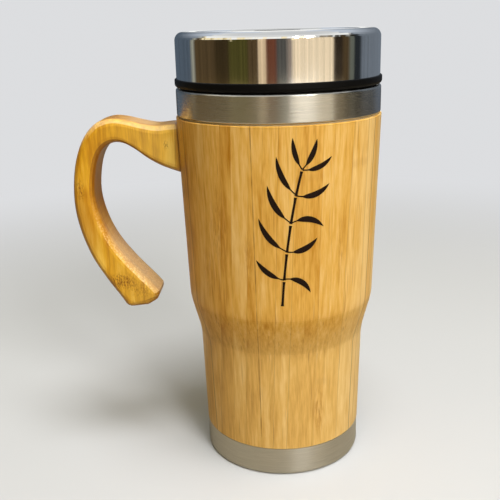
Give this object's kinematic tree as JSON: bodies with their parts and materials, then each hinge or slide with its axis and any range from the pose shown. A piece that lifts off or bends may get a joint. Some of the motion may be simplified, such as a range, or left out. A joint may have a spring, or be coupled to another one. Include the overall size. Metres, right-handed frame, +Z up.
{
  "type": "travel mug",
  "caption": "Tapered travel mug with a bamboo sleeve and shoulder, steel base and collar, an open bamboo handle, and a polished press-in lid with a sliding drinking gate.",
  "frame": {"origin": "centre of the flat underside, on the table and on the mug's axis", "axes": "+Z up along the mug's axis; the handle points along -X; the drinking hole is at +Y"},
  "size_m": [0.1314, 0.0858, 0.1865],
  "materials": {
    "bamboo": "satin lacquered laminated bamboo",
    "brushed_steel": "brushed round the axis",
    "polished_steel": "mirror polished",
    "black_plastic": "satin moulded",
    "silicone": "matt translucent",
    "dark_silicone": "matt",
    "felt": "pressed felt",
    "screw_steel": "zinc plated"
  },
  "bodies": {
    "mug": {"cup_liner": "brushed_steel", "collar_band": "brushed_steel", "collar_seal": "silicone", "bamboo_sleeve": "bamboo", "base_cup": "brushed_steel", "liner_pad": "felt", "foot_pad": "dark_silicone", "bamboo_handle": "bamboo", "handle_screws": "screw_steel"},
    "seal_ring": {"lid_gasket": "silicone"},
    "lid": {"lid_cap": "polished_steel", "lid_body": "black_plastic", "lid_tray": "black_plastic", "lid_plate": "black_plastic"},
    "slider": {"slider_gate": "black_plastic", "slider_seal": "silicone"}
  },
  "joints": [
    {"name": "lid_lift", "type": "slide", "parent": "mug", "child": "seal_ring", "axis": [0, 0, 1], "range_m": [0, 0.06]},
    {"name": "lid_turn", "type": "hinge", "parent": "seal_ring", "child": "lid", "pos_m": [0, 0, 0.16], "axis": [0, 0, 1], "continuous": true},
    {"name": "gate_slide", "type": "slide", "parent": "lid", "child": "slider", "axis": [0, -1, 0], "range_m": [0, 0.016]}
  ]
}
